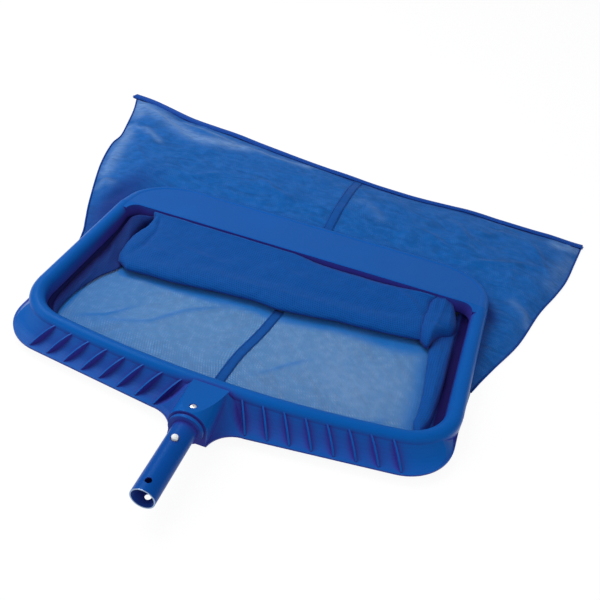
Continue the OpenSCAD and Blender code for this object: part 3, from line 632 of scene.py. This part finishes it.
TOP_CREASES = [
    ([(-382, 445), (-334, 423), (-292, 414), (-253, 407), (-221, 403)], 8, 3.2),
    ([(-440, 462), (-386, 427), (-333, 395), (-287, 362)], 7, 3.0),
    ([(-228, 385), (-194, 397), (-156, 390), (-124, 384), (-73, 389)], 7, 2.6),
    ([(-404, 372), (-377, 366), (-333, 332)], 7, 2.8),
    ([(-398, 325), (-385, 340), (-361, 341), (-332, 319)], 5, 3.4),
    ([(-392, 308), (-384, 261), (-372, 219), (-361, 190)], 7, 2.4),
    ([(-371, 308), (-334, 267), (-307, 241)], 6, 2.6),
    ([(-355, 160), (-356, 182), (-328, 165)], 6, 2.0),
    ([(-336, 118), (-318, 134), (-309, 177)], 8, -2.2),
    ([(-250, 246), (-226, 260), (-190, 285)], 7, 2.2),
    ([(-134, 304), (-91, 277), (-58, 269)], 7, 2.2),
    ([(-91, 234), (-45, 224), (-10, 246)], 6, 2.0),
    ([(40, 318), (60, 318), (88, 287)], 8, 2.0),
    ([(155, 292), (180, 278), (211, 254)], 7, 2.4),
    ([(202, 341), (224, 309), (234, 282)], 8, 2.6),
    ([(237, 332), (266, 326), (292, 363)], 7, 2.6),
    ([(206, 251), (241, 235), (281, 252), (323, 270), (349, 279)], 7, 2.8),
    ([(330, 346), (353, 296), (374, 258)], 6, 3.2),
    ([(289, 227), (308, 242), (307, 200)], 7, 2.2),
    ([(321, 171), (342, 153), (348, 135)], 6, 2.2),
    ([(289, 146), (293, 128), (296, 108)], 6, -2.2),
    ([(360, 385), (388, 389), (404, 372)], 7, 2.6),
]


def top_height(x, y):
    """Height of the upper net panel above the ground."""
    side = np.minimum(distance_to(x, y, LEFT_EDGE)[0], distance_to(x, y, RIGHT_EDGE)[0])
    hem = distance_to(x, y, HEM_LINE)[0]
    out = lip_distance(x, y)
    far = 1 - ease((hem - 10) / 60)
    crown = 1.6 + (5.0 * ease(side / 22) + 9.5 * ease(side / 70) * ease(out / 70)) * (1 - far)
    crown += (hem_rise(x) + 2.6 * ease(side / 22) * ease((hem - 11) / 12)) * far
    folds = creases(x, y, TOP_CREASES) + ripples(x, y, 4, 90, 0.9) + ripples(x, y, 8, 38, 0.4)
    return crown + 1.35 * folds * ease(side / 14) * ease((out - 4) / 24) * ease((hem - 9) / 12)


BOTTOM_CREASES = [
    ([(-225, -128), (-190, -110), (-175, -93), (-162, -71)], 4, 1.8),
    ([(-199, -124), (-131, -94), (-102, -55), (-69, -31), (-22, -4)], 5, 1.8),
    ([(-215, -150), (-160, -168), (-60, -172)], 5, 1.2),
    ([(23, -130), (44, -111), (64, -89), (93, -62)], 4, 1.4),
    ([(176, 16), (180, -2), (184, -17)], 4, 1.4),
    ([(205, -120), (190, -140), (150, -165)], 6, 1.2),
]


def bottom_height(x, y):
    """Height of the lower net panel above the ground."""
    inner = ease((226 - np.abs(x)) / 14)
    to_hem = 1 - ease(distance_to(x, y, HEM_LINE)[0] / 30)
    folds = np.clip(creases(x, y, BOTTOM_CREASES) + ripples(x, y, 2, 70, 0.25), 0, 3)
    return 0.5 + folds * inner + hem_rise(x) * to_hem


def net_panels():
    """The upper panel, cut away under the lip, and the lower one, which also lies across the ring."""
    n = 180
    plan = coons(NEAR_EDGE, HEM_LINE, LEFT_EDGE, RIGHT_EDGE, n, 120)
    x, y = plan[..., 0], plan[..., 1]
    grid = np.dstack([x, y, top_height(x, y)])
    grid[0, :, 2] = grid[-1, :, 2] = 0.9
    grid[:, -1, 2] = hem_rise(x[:, -1]) + 1.4
    drop = lip_distance((x[:-1, :-1] + x[1:, 1:]) / 2, (y[:-1, :-1] + y[1:, 1:]) / 2) < -8
    top = grid_piece("bag_upper_net", grid, drop)
    rows = []
    for y_now in np.linspace(-199, -36, 44):
        half = np.interp(y_now, [-199, -196, -190, -160, -120, -36], [20, 150, 236, 272, 286, 291])
        rows.append(np.stack([np.linspace(-half, half, n), np.full(n, y_now)], axis=1))
    full = np.concatenate([np.stack(rows, axis=1), plan[:, 1:]], axis=1)
    x, y = full[..., 0], full[..., 1]
    return top, grid_piece("bag_lower_net", np.dstack([x, y, bottom_height(x, y)]))


MILKY_SHEEN = [
    ([(-448, 485), (-432, 452), (-424, 428)], 20, 0.36),
    ([(-440, 468), (-386, 432), (-340, 408), (-300, 385), (-262, 378), (-228, 391), (-190, 399)], 16, 0.42),
    ([(-190, 399), (-150, 395), (-110, 392), (-73, 392)], 9, 0.34),
    ([(-330, 432), (-292, 420), (-253, 412), (-221, 407)], 8, 0.3),
    ([(-416, 372), (-400, 340), (-392, 305), (-381, 255), (-368, 205)], 13, 0.34),
    ([(-404, 372), (-377, 366), (-333, 332)], 7, 0.26),
    ([(-355, 160), (-356, 182), (-340, 172)], 8, 0.2),
    ([(40, 318), (60, 318), (88, 287)], 9, 0.12),
    ([(372, 370), (396, 374), (410, 382)], 11, 0.4),
    ([(398, 340), (386, 300), (374, 250)], 15, 0.16),
    ([(321, 171), (342, 153), (348, 135)], 7, 0.18),
]


def milky(x, y):
    """Painted sheen on the upper net, with the pale ground painted as if it showed where the holes of the two layers
    line up.
    """
    value = np.zeros(len(x))
    for points, width, amount in MILKY_SHEEN:
        value = np.maximum(value, amount * np.exp(-(distance_to(x, y, points)[0] / width) ** 2))
    return value


def dark_by_ring(x, y):
    """The upper net's painted shade: close to the lip and in the pockets beside the ring."""
    out = lip_distance(x, y)
    pockets = creases(x, y, [([(-300, 20), (-309, 112), (-309, 177), (-296, 230)], 26, 1.0),
                             ([(289, 150), (293, 128), (296, 104)], 12, 0.9)])
    return pockets + 0.35 * np.exp(-(np.maximum(out, 0) / 9) ** 2)


def roll_shadow(x, y):
    """The lower net's painted shade: the far roll's shadow in front of it, the band beside the flap, the strip and
    the walls, its creases, and darker towards the left and the near edge.
    """
    front = even_line(ROLL_FRONT, 120)
    edge = np.interp(x, front[:, 0], front[:, 1])
    band = 11 + 13 * ease((x + 190) / 130) + 16 * ease((x - 110) / 90)
    under = ease((y - edge + band) / (0.75 * band))
    flap_side = 0.6 * np.exp(-(distance_to(x, y, FLAP_EDGE[:6])[0] / 9) ** 2)
    strip_side = 0.8 * np.exp(-(distance_to(x, y, STRIP_EDGE[:7])[0] / 17) ** 2)
    sides = np.maximum(np.maximum(flap_side, strip_side), 0.9 * ease((np.abs(x) - 236) / 8))
    in_folds = creases(x, y, [(points, 0.8 * width, 0.6) for points, width, _ in BOTTOM_CREASES])
    dim = 0.36 * ease((-90 - x) / 150) + 0.2 * ease((-120 - y) / 50) + in_folds
    return np.maximum(np.maximum(0.95 * under, sides), dim) * (np.abs(x) < 268) * (y < 190)


def paler_spots(x, y):
    """The lower net's paler spots, painted towards the milky colour, and a faint random mottle."""
    spots = creases(x, y, [([(60, -40), (130, -80), (200, -120)], 40, 0.09), ([(-150, -60), (-110, -90)], 30, 0.05)])
    return spots + 0.04 * (ripples(x, y, 31, 60, 0.5) + 0.5)


upper_net, lower_net = net_panels()
mark(upper_net, "sheen_and_pale", milky)
mark(upper_net, "shade", dark_by_ring)
mark(lower_net, "shade", roll_shadow)
mark(lower_net, "sheen_and_pale", paler_spots)
finish_piece(upper_net, upper_net_finish, "bag_mesh", "mesh_top")
finish_piece(lower_net, lower_net_finish, "bag_mesh", "mesh_bottom")

# ---------------------------------------------------------------- hem, tapes and seams


def on_surface(line, height, lift):
    """A plan line laid on a surface, as (x, y, z) points."""
    return np.column_stack([line, height(line[:, 0], line[:, 1]) + lift])


def tape_on(name, line, width, height, lift):
    """A tape laid on a surface: line is its middle in the plan. Its two stitch rows come with it."""
    mid = even_line(line, 60)
    grid = np.stack([on_surface(beside(mid, s * width), height, lift - 0.35 * abs(2 * s) ** 4)
                     for s in np.linspace(-0.5, 0.5, 9)], axis=1)
    tape = grid_piece(name, grid, flip=True, thick=0.6)
    rows = [on_surface(beside(mid, s * (width / 2 - 1.8)), height, lift + 0.25) for s in (-1, 1)]
    return tape, sew(name + "_stitches", STITCHES, rows, "seam_tape", Spacing=0.0036, Length=0.0027,
                     Thread_radius=0.00028, Rise=0.0006)


def hem_width(s):
    """The binding's width at s, which runs from 0 at its left end to 1."""
    return 16.0 - 5.5 * ease(s * 1.5) + 1.2 * ease((s - 0.8) * 5) + 0.5 * np.sin(s * 40)


def hem_binding():
    """The folded binding of the closed end, open towards the net between its two sides, and wider at its left."""
    count = 260
    mid = even_line(HEM_LINE, count)
    s = np.linspace(0, 1, count)
    lift = np.clip(0.5 * np.sin(s * 23 + 1) + 0.4 * np.sin(s * 51), 0, 1)
    ring = []
    for a in np.linspace(-0.93, 0.93, 18) * math.pi:
        out = math.copysign(abs(math.cos(a)) ** 0.55, math.cos(a))
        up = math.copysign(abs(math.sin(a)) ** 0.8, math.sin(a))
        point = beside(mid, hem_width(s)[:, None] * (0.5 - 0.5 * out))
        ring.append(np.column_stack([point, hem_rise(mid[:, 0]) + 2.4 + 1.6 * up + lift * (up > 0)]))
    hem = grid_piece("hem_binding_cloth", np.stack(ring, axis=1), thick=0.6)
    rows = [np.column_stack([beside(mid, hem_width(s)[:, None] - inset), hem_rise(mid[:, 0]) + 4.0 + lift])
            for inset in (2.4, 4.4)]
    return hem, sew("hem_stitches", STITCHES, rows, "hem_tape", Spacing=0.0042, Length=0.0031,
                    Thread_radius=0.0003, Rise=0.0007)


hem, hem_stitches = hem_binding()
inner_tape, inner_stitches = tape_on(
    "centre_tape_inside", [(15, 4), (8, -50), (-2, -100), (-6, -142), (-8, -185)], 14, bottom_height, 0.6)
outer_tape, outer_stitches = tape_on(
    "centre_tape_outside", [(17, 211), (17.5, 231), (19, 300), (20.5, 360), (22, 398)], 16, top_height, 0.6)
finish_piece(hem, hem_finish, "hem_tape", "hem_binding")
finish_piece(inner_tape, tape_finish, "seam_tape", "tape_bottom")
finish_piece(outer_tape, tape_finish, "seam_tape", "tape_top")
side_seams = sew("side_seams", SEAM, [
    np.column_stack([even_line(LEFT_EDGE, 160), np.full(160, 1.5)]),
    np.column_stack([even_line(RIGHT_EDGE, 130), np.full(130, 1.5)])], "seam_tape", Radius=0.0013, Spacing=0.004)

# ---------------------------------------------------------------- the skirt round the ring's mouth

NYLON = 0.8
ROLL_LEFT, ROLL_RIGHT = -226, 212


def far_roll():
    """The skirt's far side: it comes from under the lip's wall, lies forward in a fold and turns back under."""
    front = np.asarray(ROLL_FRONT, float)
    sections = []
    for x in np.linspace(ROLL_LEFT, ROLL_RIGHT, 56):
        f = np.interp(x, front[:, 0], front[:, 1])
        low = 0.5 * math.sin(x / 17.0) + 0.6 * math.sin(x / 7.3 + 1)
        rise = 1.2 * math.sin(x / 41.0 + 0.6)
        back = 31.0 - 6.0 * ease((x + 10) / 60) * ease((200 - x) / 70)
        sections.append([
            (x, 109.8, 18), (x, 109.6, 14.4), (x, 105, 14.8), (x, 104.6, back - 5), (x, 102.5, back + 0.3 * low),
            (x, 94, 24.2 + 0.16 * (back - 4) + 0.4 * rise), (x, 78, 25.0 + 0.6 * rise),
            (x, max(56, f + 42), 21.9 + rise), (x, f + 32, 19.6), (x, f + 14, 17.8), (x, f + 3, 14.0 + 0.4 * low),
            (x, f, 9.6), (x, f + 3, 6.2), (x, f + 12, 5.4), (x, f + 34, 5.9), (x, 85, 6.4), (x, 150, 6.3)])
    grid = loft(sections, 90, 230)
    x, y, z = grid[..., 0].copy(), grid[..., 1], grid[..., 2]
    inside = ease((104 - y) / 12)
    left = np.interp(y, [-20, -8, 5, 48, 60, 72, 96], [-219, -226, -232, -234, -231, -226, -223])
    grid[..., 0] = x + (left - ROLL_LEFT) * ease((-200 - x) / 26) * inside
    end = np.clip(np.minimum((x - ROLL_LEFT) / 8, (ROLL_RIGHT - x) / 13), 0, 1)
    round_end = 1 - (1 - np.sqrt(1 - (1 - end) ** 2)) * inside
    grid[..., 2] = np.where(z > 5, 10 + (z - 10) * np.where(z > 10, round_end, 0.4 + 0.6 * round_end), z)
    upper = ease((grid[..., 2] - 9) / 5) * ease((106 - y) / 14)
    folds = creases(x, y, [
        ([(-222, 90), (-190, 60), (-150, 48), (-80, 44)], 5, 1.8), ([(-150, 95), (-110, 70), (-60, 58)], 6, 1.3),
        ([(-40, 98), (0, 66), (60, 52)], 6, 1.4), ([(80, 98), (120, 70), (170, 60)], 6, 1.4),
        ([(-200, 38), (-120, 30), (-20, 40), (90, 46), (180, 52)], 8, -1.3),
        ([(-120, 16), (-40, 18), (60, 26), (150, 30)], 4, 1.0),
        ([(150, 100), (185, 80), (208, 50)], 5, 1.8), ([(-226, 30), (-190, 26), (-150, 30)], 4, 1.5),
        ([(-214, 98), (-204, 70), (-206, 30), (-214, 4)], 3, -2.6)])
    grid[..., 2] += upper * (folds + ripples(x, y, 5, 60, 0.5) + ripples(x, y, 9, 22, 0.25))
    return grid_piece("skirt_far_cloth", grid, thick=NYLON)


def corner_puff():
    """The skirt's gathered far right corner: a soft pillow beside the roll, drawn together under the lip."""
    plan = coons([(207, 29), (214, 20), (222, 15), (226, 30), (234, 43), (249, 53)],
                 [(200, 107), (222, 108), (243, 107)], [(207, 29), (203, 42), (200, 58), (198, 82), (200, 107)],
                 [(249, 53), (252, 70), (249, 90), (243, 107)], 60, 80)
    u = np.linspace(0, 1, 60)[:, None]
    v = np.linspace(0, 1, 80)[None, :]
    across = (1 - np.abs(2 * u - 1) ** 2.6) ** 0.55
    front = 1 - (1 - np.clip(v / 0.3, 0, 1)) ** 2
    height = 6.8 + 17.6 * across * np.sqrt(front) + 4.5 * ease((v - 0.55) * 2.2) * across
    x, y = plan[..., 0], plan[..., 1]
    gathers = 0.7 * np.sin(u * 2 * math.pi * 3.3 + 2 * v) * ease((v - 0.4) * 1.8) * across
    folds = creases(x, y, [([(226, 96), (225, 62), (222, 38)], 3, 1.6), ([(238, 98), (240, 66), (243, 52)], 3, 1.6),
                           ([(214, 60), (226, 52), (244, 58)], 4, -1.2)])
    return grid_piece("skirt_corner_cloth", np.dstack([x, y, height + gathers + folds * across]), thick=NYLON)


def fan_of(stations, profile, across, along):
    """A surface of sections. A station is three places in the plan: on the wall, in the gap and on the edge."""
    sections = []
    for station in stations:
        w, v, e = (np.asarray(p, float) for p in station)
        out = (w - e) / np.linalg.norm(w - e)
        sections.append([tuple(p) + (z,) for p, z in profile(w, v, e, out)])
    return loft(sections, across, along)


def left_panel():
    """The skirt's left side: down the wall, a slit beside it, then a flap that lies on the net."""
    wall = [(-x, y) for x, y in SIDE_WALL] + [(-236, 109.7), (-227.5, 109.7)]
    slit = [(-246, -143), (-256, -127), (-261, -108), (-263, -80), (-263.5, -46), (-263.5, -14), (-263.5, 20),
            (-262, 56), (-260.5, 84), (-256, 96), (-248, 101), (-235, 103), (-227, 104)]

    def profile(w, v, e, out):
        top = 18 if w[1] > -110 else 8
        lift = 14 * ease((w[1] - 25) / 75)
        return [(w, top), (w, min(top, 9) - 1 + 0.6 * lift), (v * 0.6 + w * 0.4, 4.2 + 0.5 * lift),
                (v * 0.96 + e * 0.04, 4.0 + 0.6 * lift), (v * 0.8 + e * 0.2, 6.6 + lift), ((v + e) / 2, 6.6 + lift),
                (v * 0.15 + e * 0.85, 4.8 + 0.8 * lift), (e, 3.3 + 0.3 * lift), (v * 0.12 + e * 0.88, 2.2), (v, 1.9),
                (w + out * 18, 1.7)]

    grid = fan_of(zip(wall, slit, FLAP_EDGE), profile, 80, 110)
    x, y = grid[..., 0], grid[..., 1]
    top = ease((grid[..., 2] - 3.6) / 1.5) * ease((x + 268) / 6) * ease((100 - y) / 14)
    grid[..., 2] += top * (creases(x, y, [
        ([(-260, 48), (-248, 14), (-238, -20)], 4, 1.8), ([(-256, -10), (-246, -50), (-246, -90)], 3, 1.4),
        ([(-252, 80), (-240, 50), (-236, 20)], 4, 1.2)]) + ripples(x, y, 21, 30, 0.4))
    flap = grid_piece("skirt_left_cloth", grid, thick=NYLON)
    # Painted shade over the whole flap, darker towards the wall.
    mark(flap, "shade", lambda px, py: 0.58 + 0.3 * ease((-246 - px) / 14))
    return flap


def right_strip():
    """The skirt's right side: a deep gap beside the wall, then a strip that narrows towards the handle."""
    gap = [(244, -143), (249, -124), (251.5, -106), (253, -79), (254, -48), (253.5, -14), (253, 20), (252, 56),
           (252, 80), (250, 93), (244, 100)]

    def profile(w, v, e, out):
        top = 18 if w[1] > -110 else 8
        far = ease((v[1] - 40) / 30) * 2.6
        return [(w, top), (w, min(top, 9) - 1), ((w + v) / 2, 3.4), (v + out * 1.5, 3.3),
                (v + out * 1.0, 6.0 - 0.3 * far), (v - out * 2.5, 9.6 - far), ((v + e) / 2, 10.2 - far),
                (v * 0.1 + e * 0.9, 8.0 - 0.8 * far), (e, 5.0), (v * 0.12 + e * 0.88, 2.6), (v, 1.9),
                (w + out * 18, 1.7)]

    grid = fan_of(zip(SIDE_WALL, gap, STRIP_EDGE), profile, 90, 110)
    x, y = grid[..., 0], grid[..., 1]
    top = ease((grid[..., 2] - 5.4) / 1.5) * ease((262 - x) / 6)
    grid[..., 2] += top * (creases(x, y, [
        ([(236, 40), (240, 0), (242, -60)], 3, 1.0), ([(248, 30), (246, -20), (244, -100)], 3, 1.0)])
        + ripples(x, y, 23, 30, 0.35))
    strip = grid_piece("skirt_right_cloth", grid, flip=True, thick=NYLON)
    # Painted near-black shade in the gap beside the wall.
    mark(strip, "shade", lambda px, py: ease((px - 253.5) / 3))
    return strip


def near_band():
    """The skirt's near side and corners, which drop from the channel and turn out under the ridge."""
    bow, bow_y, half = 1327, 1136, math.radians(9.69)
    corner, corner_x, corner_y = 64, 212.5, -109
    bow_share, corner_share = 0.72, 0.28
    stations = []
    for s in np.linspace(-1, 1, 91):
        a = abs(s)
        if a < bow_share:
            turn = a / bow_share * half
            x, y = bow * math.sin(turn), bow_y - bow * math.cos(turn)
        else:
            turn = half + (a - bow_share) / corner_share * (math.pi / 2 - half)
            x, y = corner_x + corner * math.sin(turn), corner_y - corner * math.cos(turn)
        out = np.array([math.copysign(math.sin(turn), s), -math.cos(turn)])
        place = np.array([math.copysign(x, s), y])
        stations.append([tuple(place + out * d) + (z,)
                         for d, z in ((-6.7, 18), (-6.7, 6), (-6.0, 3.2), (-2.5, 2.0), (3, 1.7), (9, 1.7))])
    return grid_piece("skirt_near_cloth", loft(stations, 24, 260), flip=True, thick=NYLON)


roll = finish_piece(far_roll(), skirt_finish, "skirt_nylon", "skirt_far")
puff = finish_piece(corner_puff(), skirt_finish, "skirt_nylon")
flap = finish_piece(left_panel(), skirt_finish, "skirt_nylon", "skirt_left")
strip = finish_piece(right_strip(), skirt_finish, "skirt_nylon", "skirt_right")
band = finish_piece(near_band(), skirt_finish, "skirt_nylon", "skirt_near")

# ---------------------------------------------------------------- floor, light and camera


def floor():
    """A plain pale floor: white to the eye, it keeps the part's shadow."""
    made = keep_mesh("studio_floor", [(-4000, -4000, -0.3), (4000, -4000, -0.3), (4000, 4000, -0.3),
                                      (-4000, 4000, -0.3)], [(0, 1, 2, 3)])
    floor_finish, tree, _ = new_material("studio_floor")
    tree.nodes.clear()
    paint = put(tree, "ShaderNodeBsdfDiffuse", {"Color": rgb(0.7, 0.7, 0.72)})
    glow = put(tree, "ShaderNodeEmission", {"Color": WHITE, "Strength": 1.05})
    path = put(tree, "ShaderNodeLightPath")
    seen = calc(tree, "MAXIMUM", path.outputs["Is Camera Ray"], path.outputs["Is Glossy Ray"])
    seen = calc(tree, "MAXIMUM", seen, path.outputs["Is Transmission Ray"])
    mixed = put(tree, "ShaderNodeMixShader", {0: calc(tree, "MULTIPLY", seen, 0.88), 1: paint.outputs[0],
                                              2: glow.outputs[0]})
    put(tree, "ShaderNodeOutputMaterial", {0: mixed.outputs[0]})
    made.data.materials.append(floor_finish)


def sky():
    """Soft light from all round, stronger from above, and white behind the part."""
    world = bpy.data.worlds.new("studio_world")
    bpy.context.scene.world = world
    world.use_nodes = True
    tree = world.node_tree
    tree.nodes.clear()
    path = put(tree, "ShaderNodeLightPath")
    seen = calc(tree, "MAXIMUM", path.outputs["Is Camera Ray"], path.outputs["Is Transmission Ray"])
    up = put(tree, "ShaderNodeSeparateXYZ", {0: put(tree, "ShaderNodeTexCoord").outputs["Generated"]})
    strength = calc(tree, "MULTIPLY_ADD", calc(tree, "MAXIMUM", up.outputs[2], 0.0), 0.28, 0.27)
    soft = put(tree, "ShaderNodeBackground", {"Color": WHITE, "Strength": strength})
    white = put(tree, "ShaderNodeBackground", {"Color": WHITE, "Strength": 1.0})
    mixed = put(tree, "ShaderNodeMixShader", {0: seen, 1: soft.outputs[0], 2: white.outputs[0]})
    put(tree, "ShaderNodeOutputWorld", {0: mixed.outputs[0]})


def lamp(name, place, size, power):
    """A soft rectangular lamp that shines at the part."""
    light = bpy.data.lights.new(name, "AREA")
    light.shape = "RECTANGLE"
    light.size, light.size_y = size
    light.energy = power
    made = add_object(name, light)
    made.location = place
    made.rotation_euler = (-Vector(place)).to_track_quat("-Z", "Y").to_euler()


CAMERA_TURN = (12.7111, 38.2862, 9.3004)
CAMERA_AIM, CAMERA_REACH, CAMERA_LENS = (41.83, 0, 34), 1035.88, 46.157


def camera():
    """In front and above, a little to the right, rolled to the left."""
    azimuth, elevation, roll_angle = (math.radians(a) for a in CAMERA_TURN)
    back = Vector((math.sin(azimuth) * math.cos(elevation), -math.cos(azimuth) * math.cos(elevation),
                   math.sin(elevation)))
    right = Vector((math.cos(azimuth), math.sin(azimuth), 0))
    up = back.cross(right)
    right_rolled = right * math.cos(roll_angle) + up * math.sin(roll_angle)
    up_rolled = up * math.cos(roll_angle) - right * math.sin(roll_angle)
    data = bpy.data.cameras.new("camera")
    data.lens = CAMERA_LENS
    data.sensor_width = 36
    made = add_object("camera", data)
    place = Vector(CAMERA_AIM) * MM + back * CAMERA_REACH * MM
    turn = Matrix((right_rolled, up_rolled, back)).transposed()
    made.matrix_world = Matrix.Translation(place) @ turn.to_4x4()
    bpy.context.scene.camera = made


floor()
sky()
lamp("key", (-1.1, 0.5, 1.7), (1.3, 1.3), 27)
lamp("fill", (1.5, -1.1, 0.9), (1.6, 1.2), 9)
lamp("side", (-1.6, -0.8, 0.8), (1.4, 1.0), 10)
camera()
bpy.context.scene.view_settings.view_transform = "Standard"
